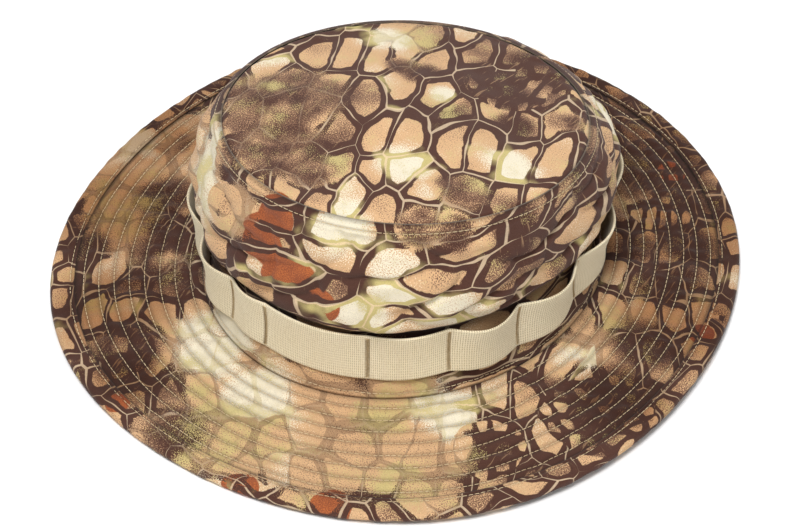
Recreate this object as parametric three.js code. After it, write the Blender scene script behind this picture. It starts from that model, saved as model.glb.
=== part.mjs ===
// A cotton boonie hat: a soft crown, a wide quilted brim, and a ring of webbing loops round the crown.
// Millimetres, +Z up. The front of the hat faces -Y and the wearer's left is +X. The hat rests on its
// brim at z = 0, and the origin is below the middle of the crown.
import * as THREE from 'three';

// ---- Driving dimensions ----
const HEAD_WIDTH = 180; // across the crown where it meets the brim
const HEAD_LENGTH = 199; // front to back at the same place
const HEAD_EGG = 0.03; // how much wider the head oval is at the back
const BRIM_WIDTH = 307; // across the whole hat
const BRIM_LENGTH = 321; // front to back over the whole hat
const BRIM_FULLNESS = 0.01; // how far the brim swells past an ellipse between its four quarters
const BRIM_UNEVEN = 0.01; // how far its edge strays from that in three slow swells
const BRIM_WAVE = 1.8; // how far the soft edge waves up and down
const BRIM_WAVE_REST = 1; // how far the middle of that wave is above the table
const BRIM_WAVE_TURN = -21; // degrees, where the edge stands highest
const SEAM_HEIGHT = 6.5; // middle of the brim where it meets the crown
const CROWN_HEIGHT = 82; // from the brim to the seam round the top panel
const TOP_WIDTH = 164; // across the top panel
const TOP_LENGTH = 171;
const TOP_SHIFT = 2.4; // the crown leans this far to the wearer's left
const TOP_TILT_BACK = 14; // the front of the top seam is higher, and the back lower, by this
const TOP_TILT_SIDE = 3;
const TOP_DOME = 7; // the top panel puffs up by this
const WALL_PUFF = 4; // the side panel puffs out by this above the webbing, and draws in behind it

const CLOTH = 0.6; // one layer of the cotton
const INTERLINING = 0.8;
const CROWN_CLOTH = 0.8; // the crown's cloth with the seam allowance pressed to it
const WEBBING = 1.2;
const THREAD = 0.5;
const TOUCH = 0.35; // gap between sewn pieces

const BINDING_WIDTH = 9;
const WEBBING_HEIGHT = 25.4;
const WEBBING_RISE = 12; // from the brim's top face to the webbing
const LOOP_FLARE = 0.6; // share of a loop's room that it has at its lower edge
const WEBBING_GAP = 0.5; // between the webbing and the crown where they are sewn
const SWEATBAND_HEIGHT = 34;
const SWEATBAND = 1.2;
const BRIM_ROWS = 8;
const RING_STEPS = 48;

// Where the webbing is bartacked to the crown, in degrees from the wearer's left, each with the room
// behind the loop that follows it.
const LOOPS = [
  [-134, 6],
  [-112, 2],
  [-97, 1.2],
  [-64, 2],
  [-41, 7],
  [-20, 7],
  [3, 6.5],
  [29, 7],
  [58, 6],
  [84, 7],
  [110, 6.5],
  [139, 7],
  [167, 7],
  [197, 7],
];
const OVERLAP_TACK = 84;
const OVERLAP = 9; // degrees of the first end that lie under the second
const END_PAST_TACK = 1.5;

const COTTON = { color: 0xb59a78, roughness: 0.92, metalness: 0 };
const COTTON_DARK = { color: 0x7d6250, roughness: 0.94, metalness: 0 };
const TWILL_TAPE = { color: 0xb8a888, roughness: 0.88, metalness: 0 };
const KHAKI_WEBBING = { color: 0xcdbe9b, roughness: 0.8, metalness: 0 };
const BACKING = { color: 0xe6e0d2, roughness: 0.95, metalness: 0 };
const CREAM_THREAD = { color: 0xe9dcc0, roughness: 0.7, metalness: 0 };
const BROWN_THREAD = { color: 0x8a5f3c, roughness: 0.7, metalness: 0 };

const { degToRad: radians, lerp, smoothstep, euclideanModulo } = THREE.MathUtils;

const hat = new THREE.Group();

function add(name, geometry, look) {
  const mesh = new THREE.Mesh(geometry, new THREE.MeshStandardMaterial(look));
  mesh.name = name;
  hat.add(mesh);
  return mesh;
}

// ---- Closed skins from rows of points ----

// Joins every row of points to the next, and the last to the first where the skin goes all the way
// round. A row closes on itself. Points that coincide become one vertex, and triangles that vanish
// are left out, so a row may pass through a pole, and an end row may be folded flat.
function skin(rows, goesRound) {
  const places = [];
  const found = new Map();
  const vertex = (p) => {
    const key = p.toArray().map((c) => c.toFixed(3)).join();
    if (!found.has(key)) {
      found.set(key, places.length);
      places.push(p);
    }
    return found.get(key);
  };
  const grid = rows.map((row) => row.map(vertex));
  const index = [];
  const triangle = (a, b, c) => {
    if (a !== b && b !== c && c !== a) index.push(a, b, c);
  };
  const joined = goesRound ? grid : grid.slice(0, -1);
  joined.forEach((row, i) => {
    const next = grid[(i + 1) % grid.length];
    row.forEach((a, j) => {
      const k = (j + 1) % row.length;
      triangle(a, next[j], next[k]);
      triangle(a, next[k], row[k]);
    });
  });
  if (enclosedVolume(places, index) < 0) index.reverse();
  const geometry = new THREE.BufferGeometry().setFromPoints(places);
  geometry.setIndex(index);
  geometry.computeVertexNormals();
  return geometry;
}

function enclosedVolume(places, index) {
  let volume = 0;
  for (let i = 0; i < index.length; i += 3) {
    const [a, b, c] = [places[index[i]], places[index[i + 1]], places[index[i + 2]]];
    volume += a.dot(new THREE.Vector3().crossVectors(b, c)) / 6;
  }
  return volume;
}

function ringAngles(steps) {
  return Array.from({ length: steps }, (_, i) => (i / steps) * 2 * Math.PI);
}

// A ring that goes all the way round the hat, from the outline that `section` gives at each angle.
function ring(section, steps = RING_STEPS) {
  return skin(ringAngles(steps).map(section), true);
}

// A strip with two ends. Its section goes along one face and back along the other, so each end is
// closed by a last row folded flat between the faces.
function strip(section, angles) {
  const rows = angles.map(section);
  const folded = (row) => row.map((p, j) => p.clone().lerp(row[row.length - 1 - j], 0.5));
  return skin([folded(rows[0]), ...rows, folded(rows.at(-1))], false);
}

// ---- The hat's surfaces ----

// A point of the head's oval, grown outwards by `offset`.
function headOval(angle, offset, z) {
  const k = 1 + HEAD_EGG * Math.sin(angle);
  const x = (HEAD_WIDTH / 2 + offset) * Math.cos(angle) * k;
  const y = (HEAD_LENGTH / 2 + offset) * Math.sin(angle) * k;
  return new THREE.Vector3(x, y, z);
}

function topOval(angle, offset, z) {
  const x = TOP_SHIFT + (TOP_WIDTH / 2 + offset) * Math.cos(angle);
  const y = (TOP_LENGTH / 2 + offset) * Math.sin(angle);
  return new THREE.Vector3(x, y, z);
}

function brimEdge(angle, offset) {
  const swell = 1 - BRIM_FULLNESS * Math.cos(4 * angle) - BRIM_UNEVEN * Math.sin(3 * angle);
  const k = swell / (1 - BRIM_FULLNESS);
  const x = (BRIM_WIDTH / 2 + offset) * Math.cos(angle) * k;
  const y = (BRIM_LENGTH / 2 + offset) * Math.sin(angle) * k;
  const centre = ((BRIM_LENGTH / 2) * BRIM_UNEVEN) / (1 - BRIM_FULLNESS);
  return new THREE.Vector3(x, y - centre, 0);
}

// Half the brim's thickness at its bound edge, which lifts the middle of the brim off the table.
const BOUND_HALF = CLOTH * 2 + TOUCH * 2 + INTERLINING / 2;

function edgeHeight(angle) {
  const wave = Math.cos(2 * (angle - radians(BRIM_WAVE_TURN)));
  return BOUND_HALF + Math.max(0, BRIM_WAVE_REST + BRIM_WAVE * wave);
}

// A point of the brim, `fraction` of the way out from the crown to its edge, `rise` above the brim's
// middle. The brim slopes from the crown to its binding, and lies flat under that.
function brimPoint(angle, fraction, rise) {
  const inner = headOval(angle, -CROWN_CLOTH * 2, 0);
  const outer = brimEdge(angle, -CLOTH - TOUCH);
  const point = inner.lerp(outer, fraction);
  point.z = lerp(SEAM_HEIGHT, edgeHeight(angle), Math.min(1, fraction / FLAT_FRACTION)) + rise;
  return point;
}

const BRIM_DEPTH = (BRIM_LENGTH - HEAD_LENGTH) / 2;
const FLAT_FRACTION = 1 - BINDING_WIDTH / BRIM_DEPTH;

// The seam round the top panel: higher at the front, lower at the back.
function topSeamHeight(angle) {
  const tilt = TOP_TILT_SIDE * Math.cos(angle) - TOP_TILT_BACK * Math.sin(angle);
  return WALL_FOOT + CROWN_HEIGHT + tilt;
}

const BRIM_TOP = SEAM_HEIGHT + INTERLINING / 2 + TOUCH + CLOTH;
const WALL_FOOT = BRIM_TOP + TOUCH;

// The side panel's cloth is straight between these levels, from its foot at 0 to the top seam at 1.
const WALL_LEVELS = [0, 0.14, 0.28, 0.44, 0.62, 0.8, 0.93, 1];

// A point of the crown's side at one of those levels, moved outwards by `offset`.
function wallAt(angle, level, offset) {
  const z = lerp(WALL_FOOT, topSeamHeight(angle), level);
  const puff = offset - WALL_PUFF * Math.sin(2 * Math.PI * level);
  return headOval(angle, puff, z).lerp(topOval(angle, puff, z), level ** 3);
}

// A point of the crown's side at height z.
function crownWall(angle, z, offset) {
  const rise = (z - WALL_FOOT) / (topSeamHeight(angle) - WALL_FOOT);
  const above = Math.max(1, WALL_LEVELS.findIndex((level) => level >= rise));
  const [low, high] = [WALL_LEVELS[above - 1], WALL_LEVELS[above]];
  const share = (rise - low) / (high - low);
  return wallAt(angle, low, offset).lerp(wallAt(angle, high, offset), share);
}

// A point of the top panel, from its middle at 0 to its seam at 1, moved up by `rise`.
function topPanel(angle, fraction, rise) {
  const edge = topOval(angle, -CROWN_CLOTH - TOUCH, 0);
  const middle = new THREE.Vector3(TOP_SHIFT, 0, 0);
  const point = middle.lerp(edge, fraction);
  const seam = lerp(WALL_FOOT + CROWN_HEIGHT, topSeamHeight(angle), fraction);
  point.z = seam + TOP_DOME * Math.cos((Math.PI / 2) * fraction) + rise;
  return point;
}

// ---- Brim ----

// One layer of the brim, from `low` to `high` about the brim's middle.
function brimLayer(low, high) {
  const across = [0, FLAT_FRACTION / 2, FLAT_FRACTION, 1];
  return ring((angle) => [
    ...across.map((fraction) => brimPoint(angle, fraction, low)),
    ...across.toReversed().map((fraction) => brimPoint(angle, fraction, high)),
  ]);
}

const CORE = INTERLINING / 2;
add('brim_interlining', brimLayer(-CORE, CORE), BACKING);
add('brim_upper', brimLayer(CORE + TOUCH, CORE + TOUCH + CLOTH), COTTON);
add('brim_lower', brimLayer(-CORE - TOUCH - CLOTH, -CORE - TOUCH), COTTON_DARK);

// The bias strip folded over the brim's edge. Its under side is what the hat rests on.
function binding() {
  const outer = CORE + TOUCH + CLOTH + TOUCH + CLOTH;
  const fold = outer - CLOTH;
  return ring((angle) => {
    const lip = brimPoint(angle, FLAT_FRACTION, 0);
    const inside = brimPoint(angle, 1, 0).lerp(brimEdge(angle, 0), 0.35);
    const edge = brimEdge(angle, 0);
    const at = (p, rise) => new THREE.Vector3(p.x, p.y, edgeHeight(angle) + rise);
    return [
      at(lip, -outer),
      at(edge.clone().lerp(lip, 0.08), -outer),
      at(edge, -CORE),
      at(edge, CORE),
      at(edge.clone().lerp(lip, 0.08), outer),
      at(lip, outer),
      at(lip, fold),
      at(inside, fold),
      at(inside, -fold),
      at(lip, -fold),
    ];
  });
}

add('brim_edge_binding', binding(), COTTON);

// ---- Crown ----

function sidePanel() {
  return ring((angle) => [
    ...WALL_LEVELS.map((level) => wallAt(angle, level, 0)),
    ...WALL_LEVELS.toReversed().map((level) => wallAt(angle, level, -CROWN_CLOTH)),
  ]);
}

function topPanelSkin() {
  const outwards = [0, 0.4, 0.75, 1];
  return ring((angle) => [
    ...outwards.map((fraction) => topPanel(angle, fraction, 0)),
    ...outwards.toReversed().map((fraction) => topPanel(angle, fraction, -CROWN_CLOTH)),
  ]);
}

add('crown_side_panel', sidePanel(), COTTON);
add('crown_top_panel', topPanelSkin(), COTTON);

// The tape that binds the raw edges of the top seam, inside the crown.
function topSeamBinding() {
  const [width, depth, drop] = [1.6, 5, CROWN_CLOTH + TOUCH];
  return ring((angle) => {
    const z = topSeamHeight(angle) - drop;
    const outside = -CROWN_CLOTH * 2 - TOUCH - 2.2;
    return [
      topOval(angle, outside, z),
      topOval(angle, outside, z - depth),
      topOval(angle, outside - width, z - depth),
      topOval(angle, outside - width, z),
    ];
  });
}

add('top_seam_binding', topSeamBinding(), TWILL_TAPE);

// The tape over the upright seam at the back of the side panel, inside the crown.
function backSeamTape() {
  const half = radians(3);
  const levels = WALL_LEVELS.slice(4, 7);
  const outside = -CROWN_CLOTH - TOUCH;
  const section = (angle) => [
    ...levels.map((level) => wallAt(angle, level, outside)),
    ...levels.toReversed().map((level) => wallAt(angle, level, outside - CLOTH)),
  ];
  return strip(section, [Math.PI / 2 - half, Math.PI / 2 + half]);
}

add('back_seam_tape', backSeamTape(), TWILL_TAPE);

// ---- Sweatband and label ----

const SWEATBAND_FACE = -CROWN_CLOTH * 2 - TOUCH;
const SWEATBAND_FOOT = SEAM_HEIGHT - BOUND_HALF;
const SWEATBAND_TOP = SWEATBAND_FOOT + SWEATBAND_HEIGHT;

// The band hangs straight below the crown's foot and follows the side panel above it.
function sweatbandPoint(angle, z, offset) {
  return z < WALL_FOOT ? headOval(angle, offset, z) : crownWall(angle, z, offset);
}

function sweatband() {
  const steps = [0, 0.33, 0.67, 1];
  const levels = [SWEATBAND_FOOT, ...steps.map((step) => lerp(WALL_FOOT, SWEATBAND_TOP, step))];
  return ring((angle) => [
    ...levels.map((z) => sweatbandPoint(angle, z, SWEATBAND_FACE)),
    ...levels.toReversed().map((z) => sweatbandPoint(angle, z, SWEATBAND_FACE - SWEATBAND)),
  ]);
}

add('sweatband', sweatband(), TWILL_TAPE);

// A blank woven label sewn to the back of the sweatband.
function placeLabel() {
  const [width, height, thick] = [32, 22, 0.5];
  const label = add('size_label', new THREE.BoxGeometry(width, thick, height), BACKING);
  const z = SWEATBAND_FOOT + SWEATBAND_HEIGHT / 2;
  const back = sweatbandPoint(Math.PI / 2, z, SWEATBAND_FACE - SWEATBAND).y;
  const bow = 3.5;
  label.position.set(0, back - bow - thick, z);
}

placeLabel();

// ---- Webbing ----

const WEBBING_FOOT = BRIM_TOP + WEBBING_RISE;

// How far the webbing stands off the crown between the two bartacks on either side of an angle.
function loopBulge(degrees) {
  const turn = (a) => euclideanModulo(a, 360);
  const past = LOOPS.map(([tack]) => turn(degrees - tack));
  const ahead = LOOPS.map(([tack]) => turn(tack - degrees));
  const [before, after] = [Math.min(...past), Math.min(...ahead)];
  if (before === 0 || after === 0) return 0;
  const [, room] = LOOPS[past.indexOf(before)];
  return room * Math.sin((Math.PI * before) / (before + after)) ** 2;
}

// The angles where the strip gets a section: at both ends, at every bartack, and between them.
function webbingAngles() {
  const first = OVERLAP_TACK - OVERLAP;
  const turnOf = (tack) => (tack < first ? tack + 360 : tack);
  const tacks = LOOPS.map(([tack]) => turnOf(tack)).filter((a) => a < first + 360);
  const stops = [first, ...tacks, OVERLAP_TACK + 360, OVERLAP_TACK + 360 + END_PAST_TACK];
  stops.sort((a, b) => a - b);
  const stepsPerLoop = 6;
  const between = (a, b) => Array.from({ length: stepsPerLoop }, (_, i) => lerp(a, b, i / stepsPerLoop));
  return [...stops.slice(0, -1).flatMap((a, i) => between(a, stops[i + 1])), stops.at(-1)];
}

// A section across the webbing's height, `thick` deep, `stand` off the crown and `bulge` more at its
// upper edge, `trim` short at each edge.
function webbingSection(degrees, stand, bulge, thick, trim = 0) {
  const levels = [trim, WEBBING_HEIGHT / 2, WEBBING_HEIGHT - trim];
  const at = (level, depth) => {
    const flare = lerp(LOOP_FLARE, 1, level / WEBBING_HEIGHT);
    return crownWall(radians(degrees), WEBBING_FOOT + level, stand + bulge * flare + depth);
  };
  return [
    ...levels.map((level) => at(level, 0)),
    ...levels.toReversed().map((level) => at(level, thick)),
  ];
}

// The strip goes once round the crown, and its second end lies over the first.
function webbing() {
  const last = OVERLAP_TACK + 360;
  const section = (degrees) => {
    const over = smoothstep(degrees, last - OVERLAP * 1.6, last - OVERLAP);
    const ended = degrees > last || degrees < OVERLAP_TACK;
    const bulge = ended ? 0 : loopBulge(degrees) * (1 - over);
    return webbingSection(degrees, WEBBING_GAP + over * (WEBBING + TOUCH), bulge, WEBBING);
  };
  return strip(section, webbingAngles());
}

add('branch_loop_webbing', webbing(), KHAKI_WEBBING);

// A bartack is a short thick bar of thread across the webbing.
function bartack(tack) {
  const [halfWidth, thick, trim] = [0.6, 0.6, 1.5]; // half its width in degrees, the rest in mm
  const layers = tack === OVERLAP_TACK ? 2 : 1;
  const stand = WEBBING_GAP + layers * (WEBBING + TOUCH) + TOUCH;
  const section = (degrees) => webbingSection(degrees, stand, 0, thick, trim);
  return strip(section, [tack - halfWidth, tack + halfWidth]);
}

LOOPS.forEach(([tack], i) => {
  add(`bartack_${String(i + 1).padStart(2, '0')}`, bartack(tack), BROWN_THREAD);
});

// ---- Rows of stitching ----

// A row of thread along a line round the hat: a three-sided ring with its flat side down.
function stitchRow(name, line) {
  const section = (angle) => {
    const { at, out, up } = line(angle);
    const corner = (across, rise) =>
      at.clone().addScaledVector(out, across * THREAD).addScaledVector(up, TOUCH + rise * THREAD);
    return [corner(-0.6, 0), corner(0.6, 0), corner(0, 0.8)];
  };
  add(name, ring(section), CREAM_THREAD);
}

const UP = new THREE.Vector3(0, 0, 1);

function outwards(angle) {
  return new THREE.Vector3(Math.cos(angle), Math.sin(angle), 0);
}

function brimLine(fraction, rise) {
  return (angle) => ({ at: brimPoint(angle, fraction, rise), out: outwards(angle), up: UP });
}

const BRIM_FACE = CORE + TOUCH + CLOTH;
for (let row = 1; row <= BRIM_ROWS; row++) {
  const fraction = (FLAT_FRACTION * row) / (BRIM_ROWS + 0.6);
  stitchRow(`brim_stitch_row_${row}`, brimLine(fraction, BRIM_FACE));
}
const BINDING_STITCH = FLAT_FRACTION + 1.6 / BRIM_DEPTH;
stitchRow('binding_stitch_row', brimLine(BINDING_STITCH, BRIM_FACE + TOUCH + CLOTH));

// A row sewn on the crown's side at a height that may change round the hat.
function wallLine(height, offset, facing) {
  return (angle) => ({
    at: crownWall(angle, height(angle), offset),
    out: UP,
    up: outwards(angle).multiplyScalar(facing),
  });
}

const BASE_STITCH_RISE = 2.4;
stitchRow('crown_base_stitch_row', wallLine(() => WALL_FOOT + BASE_STITCH_RISE, 0, 1));
const TOP_STITCH_DROP = 3;
stitchRow('top_seam_stitch_row', wallLine((angle) => topSeamHeight(angle) - TOP_STITCH_DROP, 0, 1));

function sweatbandLine(angle) {
  const at = sweatbandPoint(angle, SWEATBAND_TOP - 3, SWEATBAND_FACE - SWEATBAND);
  return { at, out: UP, up: outwards(angle).negate() };
}

stitchRow('sweatband_stitch_row', sweatbandLine);

export default hat;
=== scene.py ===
"""The looks of a boonie hat: printed cloth, quilted brim, ribbed webbing and stitching.

The surfaces below repeat the CAD part's formulas in millimetres, with folds and puckers added, and
turn into metres when a mesh is made. Angles go counter-clockwise from +X, seen from above.
"""

import math

import bpy
import numpy as np
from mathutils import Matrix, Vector


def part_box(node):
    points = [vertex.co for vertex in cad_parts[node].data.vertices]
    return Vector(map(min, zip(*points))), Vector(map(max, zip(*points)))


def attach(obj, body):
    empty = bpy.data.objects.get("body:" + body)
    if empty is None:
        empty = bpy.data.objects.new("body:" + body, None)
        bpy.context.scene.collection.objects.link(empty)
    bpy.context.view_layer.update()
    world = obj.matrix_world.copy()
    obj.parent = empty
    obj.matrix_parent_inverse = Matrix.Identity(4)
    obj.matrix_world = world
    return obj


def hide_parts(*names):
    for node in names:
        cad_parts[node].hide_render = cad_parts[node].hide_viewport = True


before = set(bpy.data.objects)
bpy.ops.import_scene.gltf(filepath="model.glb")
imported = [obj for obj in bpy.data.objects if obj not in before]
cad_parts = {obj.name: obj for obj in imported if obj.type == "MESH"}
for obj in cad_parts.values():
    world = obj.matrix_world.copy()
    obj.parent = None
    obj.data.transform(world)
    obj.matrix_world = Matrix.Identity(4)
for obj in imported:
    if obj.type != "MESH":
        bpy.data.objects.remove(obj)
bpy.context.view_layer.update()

MM = 0.001  # a millimetre, in metres
TURN = 2 * math.pi
BACK = math.pi / 2  # the crown's upright seam is at the back, and cloth coordinates start there

# ---- Sizes that the CAD part has too, in millimetres ----

HEAD_HALF = (90.0, 99.5)
HEAD_EGG = 0.03
TOP_HALF = (82.0, 85.5)
TOP_SHIFT = 2.4
TOP_TILT_BACK = 14.0
TOP_TILT_SIDE = 3.0
TOP_DOME = 7.0
BRIM_HALF = (153.5, 160.5)
BRIM_FULLNESS = 0.01
BRIM_UNEVEN = 0.01
BRIM_WAVE = 1.8
BRIM_WAVE_REST = 1.0
BRIM_WAVE_TURN = math.radians(-21)
SEAM_HEIGHT = 6.5
CROWN_HEIGHT = 82.0
WALL_PUFF = 4.0
CLOTH = 0.6
CROWN_CLOTH = 0.8
BOUND_HALF = 2.3
BRIM_FACE = 1.35
WALL_FOOT = 8.2
BRIM_DEPTH = 61.0
FLAT_FRACTION = 1 - 9.0 / BRIM_DEPTH
BRIM_ROWS = 8
ROW_SPACES = BRIM_ROWS + 0.6
INTERLINING = 0.8
WEBBING_FOOT = 19.85
WEBBING_HEIGHT = 25.4
WEBBING = 1.2
WEBBING_GAP = 0.5
LOOP_FLARE = 0.6
SWEATBAND = (4.2, 38.2)
SWEATBAND_FACE = -1.95
SWEATBAND_THICK = 1.2

# Bartacks of the webbing: the angle in degrees, and how far the webbing stands off in the loop after it.
LOOPS = [
    (-134, 6), (-112, 2), (-97, 1.2), (-64, 2), (-41, 7), (-20, 7), (3, 6.5),
    (29, 7), (58, 6), (84, 7), (110, 6.5), (139, 7), (167, 7), (197, 7),
]
OVERLAP_TACK = 84  # the bartack over both ends of the webbing
OVERLAP = 9  # degrees
END_PAST_TACK = 1.5  # degrees

# ---- Small helpers ----


def point(x, y, z):
    return np.stack(np.broadcast_arrays(x, y, z), axis=-1).astype(float)


def between(p, q, share):
    return p + (q - p) * np.asarray(share)[..., None]


def smooth(low, high, x):
    t = np.clip((np.asarray(x, float) - low) / (high - low), 0, 1)
    return t * t * (3 - 2 * t)


def near(x, middle, width):
    """1 at the middle, fading to 0 about two widths away."""
    return np.exp(-(((x - middle) / width) ** 2))


def bumps(places, size, seed, stretch=(1, 1, 1)):
    """A smooth field of hills and hollows about `size` mm across, mostly between -1 and 1."""
    rng = np.random.default_rng(seed)
    waves = 14
    directions = rng.normal(size=(waves, 3))
    directions /= np.linalg.norm(directions, axis=1)[:, None]
    lengths = size * rng.uniform(0.7, 1.6, waves)
    phases = rng.uniform(0, TURN, waves)
    scaled = places / np.asarray(stretch, float)
    total = np.zeros(places.shape[:-1])
    for direction, length, phase in zip(directions, lengths, phases):
        total += np.cos(scaled @ direction * TURN / length + phase)
    return total / math.sqrt(waves)


def folds(places, size, seed, stretch=(1, 1, 1)):
    """Rounded cloth between narrow creases, from 0 in a crease to about 1."""
    return np.minimum(1, np.abs(bumps(places, size, seed, stretch)) * 1.3) ** 0.7


# ---- The hat's surfaces, as functions of angle and height or distance out ----


def head_oval(a, offset, z):
    k = 1 + HEAD_EGG * np.sin(a)
    return point((HEAD_HALF[0] + offset) * np.cos(a) * k, (HEAD_HALF[1] + offset) * np.sin(a) * k, z)


def top_oval(a, offset, z):
    x = TOP_SHIFT + (TOP_HALF[0] + offset) * np.cos(a)
    return point(x, (TOP_HALF[1] + offset) * np.sin(a), z)


def brim_edge(a, offset, z=0.0):
    swell = 1 - BRIM_FULLNESS * np.cos(4 * a) - BRIM_UNEVEN * np.sin(3 * a)
    k = swell / (1 - BRIM_FULLNESS)
    centre = BRIM_HALF[1] * BRIM_UNEVEN / (1 - BRIM_FULLNESS)
    x = (BRIM_HALF[0] + offset) * np.cos(a) * k
    return point(x, (BRIM_HALF[1] + offset) * np.sin(a) * k - centre, z)


def edge_height(a):
    wave = BRIM_WAVE * np.cos(2 * (a - BRIM_WAVE_TURN))
    return BOUND_HALF + np.maximum(0, BRIM_WAVE_REST + wave)


def brim_point(a, fraction, rise):
    p = between(head_oval(a, -1.6, 0), brim_edge(a, -0.95), fraction)
    height = edge_height(a)
    down = np.minimum(1, fraction / FLAT_FRACTION)
    p[..., 2] = SEAM_HEIGHT + (height - SEAM_HEIGHT) * down + rise
    return p


def top_seam_height(a):
    return WALL_FOOT + CROWN_HEIGHT + TOP_TILT_SIDE * np.cos(a) - TOP_TILT_BACK * np.sin(a)


def wall_at(a, level, offset):
    z = WALL_FOOT + (top_seam_height(a) - WALL_FOOT) * level
    puff = offset - WALL_PUFF * np.sin(TURN * level)
    return between(head_oval(a, puff, z), top_oval(a, puff, z), np.broadcast_to(level, z.shape) ** 3)


def crown_wall(a, z, offset):
    level = (z - WALL_FOOT) / (top_seam_height(a) - WALL_FOOT)
    return wall_at(a, level, offset)


def top_panel(a, fraction, rise):
    p = between(point(TOP_SHIFT, 0, 0), top_oval(a, -1.15, 0), fraction)
    middle = WALL_FOOT + CROWN_HEIGHT
    seam = middle + (top_seam_height(a) - middle) * fraction
    p[..., 2] = seam + TOP_DOME * np.cos(BACK * fraction) + rise
    return p


# ---- Folds and puckers of the cloth ----

WEBBING_TOP = WEBBING_FOOT + WEBBING_HEIGHT
TOP_ROW = 3.0  # the topstitching's distance below the top seam
BASE_ROW = 2.4  # and the base row's above the foot of the crown
TOP_REACH = 84.0  # from the middle of the top panel to its seam, about
WALL_REACH = 92.0  # from the middle of the hat to the crown's side, about
CROWN_UV_HEIGHT = 90.0  # how tall the side panel's print is
EDGE_REACH = 155.0  # from the middle of the hat to the brim's edge, about
BINDING_ROW = 1.6  # the binding's stitches, out from its inner edge


def side_relief(a, level):
    """How far the crown's side stands off its plain shape."""
    p = wall_at(a, level, 0)
    z = p[..., 2]
    below_seam = top_seam_height(a) - z
    loose = smooth(WEBBING_TOP, WEBBING_TOP + 9, z) * smooth(3, 9, below_seam)
    drawn_in = near(z, WEBBING_TOP - 2, 5)
    long_folds = folds(p, 46, 11, (1.5, 1.5, 0.42)) - 0.75
    cross_folds = folds(p, 30, 12, (0.8, 0.8, 1.4)) - 0.75
    crumples = bumps(p, 13, 13)
    big = bumps(p, 75, 14)
    relief = loose * (3.4 * long_folds + 1.5 * cross_folds + 0.35 * crumples + 1.2 * big)
    relief = relief - 2.0 * drawn_in
    # The cloth hangs over the webbing's upper edge.
    relief = relief + 1.8 * near(z, WEBBING_TOP + 11, 7) + 1.5 * near(z, WEBBING_TOP + 4.5, 3.5)
    strip = smooth(WALL_FOOT, WALL_FOOT + 6, z) * (1 - smooth(WEBBING_FOOT - 3, WEBBING_FOOT + 1, z))
    relief = relief + strip * (0.7 * bumps(p, 16, 15, (0.7, 0.7, 2.5)) + 0.25 * crumples)
    pucker = bumps(p, 7, 16, (1, 1, 3))
    seam_band = 1 - smooth(4.4, 5.6, below_seam)
    relief = relief + seam_band * 0.35 + near(below_seam, 6, 3) * 0.3 * pucker
    relief = relief - near(below_seam, TOP_ROW, 0.7) * (0.45 + 0.15 * pucker)
    relief = relief - near(z - WALL_FOOT, BASE_ROW, 0.8) * (0.4 + 0.2 * pucker)
    return relief - (1 - smooth(0, 1.6, below_seam)) * 1.3


def side_cloth(a, level, inwards=0.0):
    return wall_at(a, level, side_relief(a, level) - inwards)


def top_relief(a, fraction):
    """How far the top panel stands off its plain dome."""
    p = top_panel(a, fraction, 0)
    to_seam = (1 - fraction) * TOP_REACH
    inside = smooth(2, 16, to_seam)
    relief = inside * (1.0 * bumps(p, 62, 21) + 0.9 * (folds(p, 52, 22, (0.7, 1.6, 1)) - 0.8))
    relief = relief + inside * 0.16 * bumps(p, 11, 23)
    pucker = bumps(p, 8, 24)
    relief = relief + near(to_seam, 4, 4) * (0.35 + 0.25 * pucker)
    return relief - (1 - smooth(0, 2.2, to_seam)) * 1.5


def top_cloth(a, fraction, inwards=0.0):
    return top_panel(a, fraction, top_relief(a, fraction) - inwards)


QUILTING_SEED = 31


def quilting(a, fraction):
    """The brim's cloth swells between its stitched rows, and is drawn into ripples across them."""
    p = brim_point(a, fraction, 0)
    rows = fraction / FLAT_FRACTION * ROW_SPACES
    swell = np.abs(np.sin(math.pi * rows)) ** 0.6
    stitched = smooth(0.2, 0.9, rows) * (1 - smooth(BRIM_ROWS + 0.1, BRIM_ROWS + 0.5, rows))
    channel = np.floor(rows).astype(int)
    rng = np.random.default_rng(QUILTING_SEED)
    drawn = np.zeros(p.shape[:-1])
    waves = 7
    for _ in range(waves):
        count = rng.integers(70, 240)
        phases = rng.uniform(0, TURN, BRIM_ROWS + 3)
        slants = rng.uniform(-3, 3, BRIM_ROWS + 3)
        drawn += np.cos(count * a + phases[channel] + slants[channel] * (rows - channel))
    drawn = drawn / math.sqrt(waves)
    patchy = smooth(-0.9, 0.9, bumps(p, 26, QUILTING_SEED + 1))
    ripples = 0.36 * bumps(p, 8, QUILTING_SEED + 2) + (0.04 + 0.34 * patchy) * drawn * swell
    rolling = 0.55 * bumps(p, 48, QUILTING_SEED + 3)
    relief = stitched * (0.95 * swell - 0.15 + ripples) + smooth(0, 2, rows) * rolling
    lowest = -0.25  # the stiff backing lies just below
    sharpness = 6  # of the bend where the relief meets that floor
    return lowest + np.logaddexp(0, (relief - lowest) * sharpness) / sharpness


def brim_top(a, fraction, inwards=0.0):
    return brim_point(a, fraction, BRIM_FACE + quilting(a, fraction) - inwards)


def brim_under(a, fraction, inwards=0.0):
    return brim_point(a, fraction, -BRIM_FACE - 0.7 * quilting(a, fraction) + inwards)


def loop_bulge(degrees):
    """How far the webbing stands off the crown, between the bartacks either side of each angle."""
    tacks = np.array([tack for tack, _ in LOOPS])
    rooms = np.array([room for _, room in LOOPS])
    past = (degrees[..., None] - tacks) % 360
    before = past.min(axis=-1)
    after = ((tacks - degrees[..., None]) % 360).min(axis=-1)
    room = rooms[past.argmin(axis=-1)]
    return room * np.sin(math.pi * before / np.maximum(before + after, 1e-6)) ** 1.15


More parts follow.
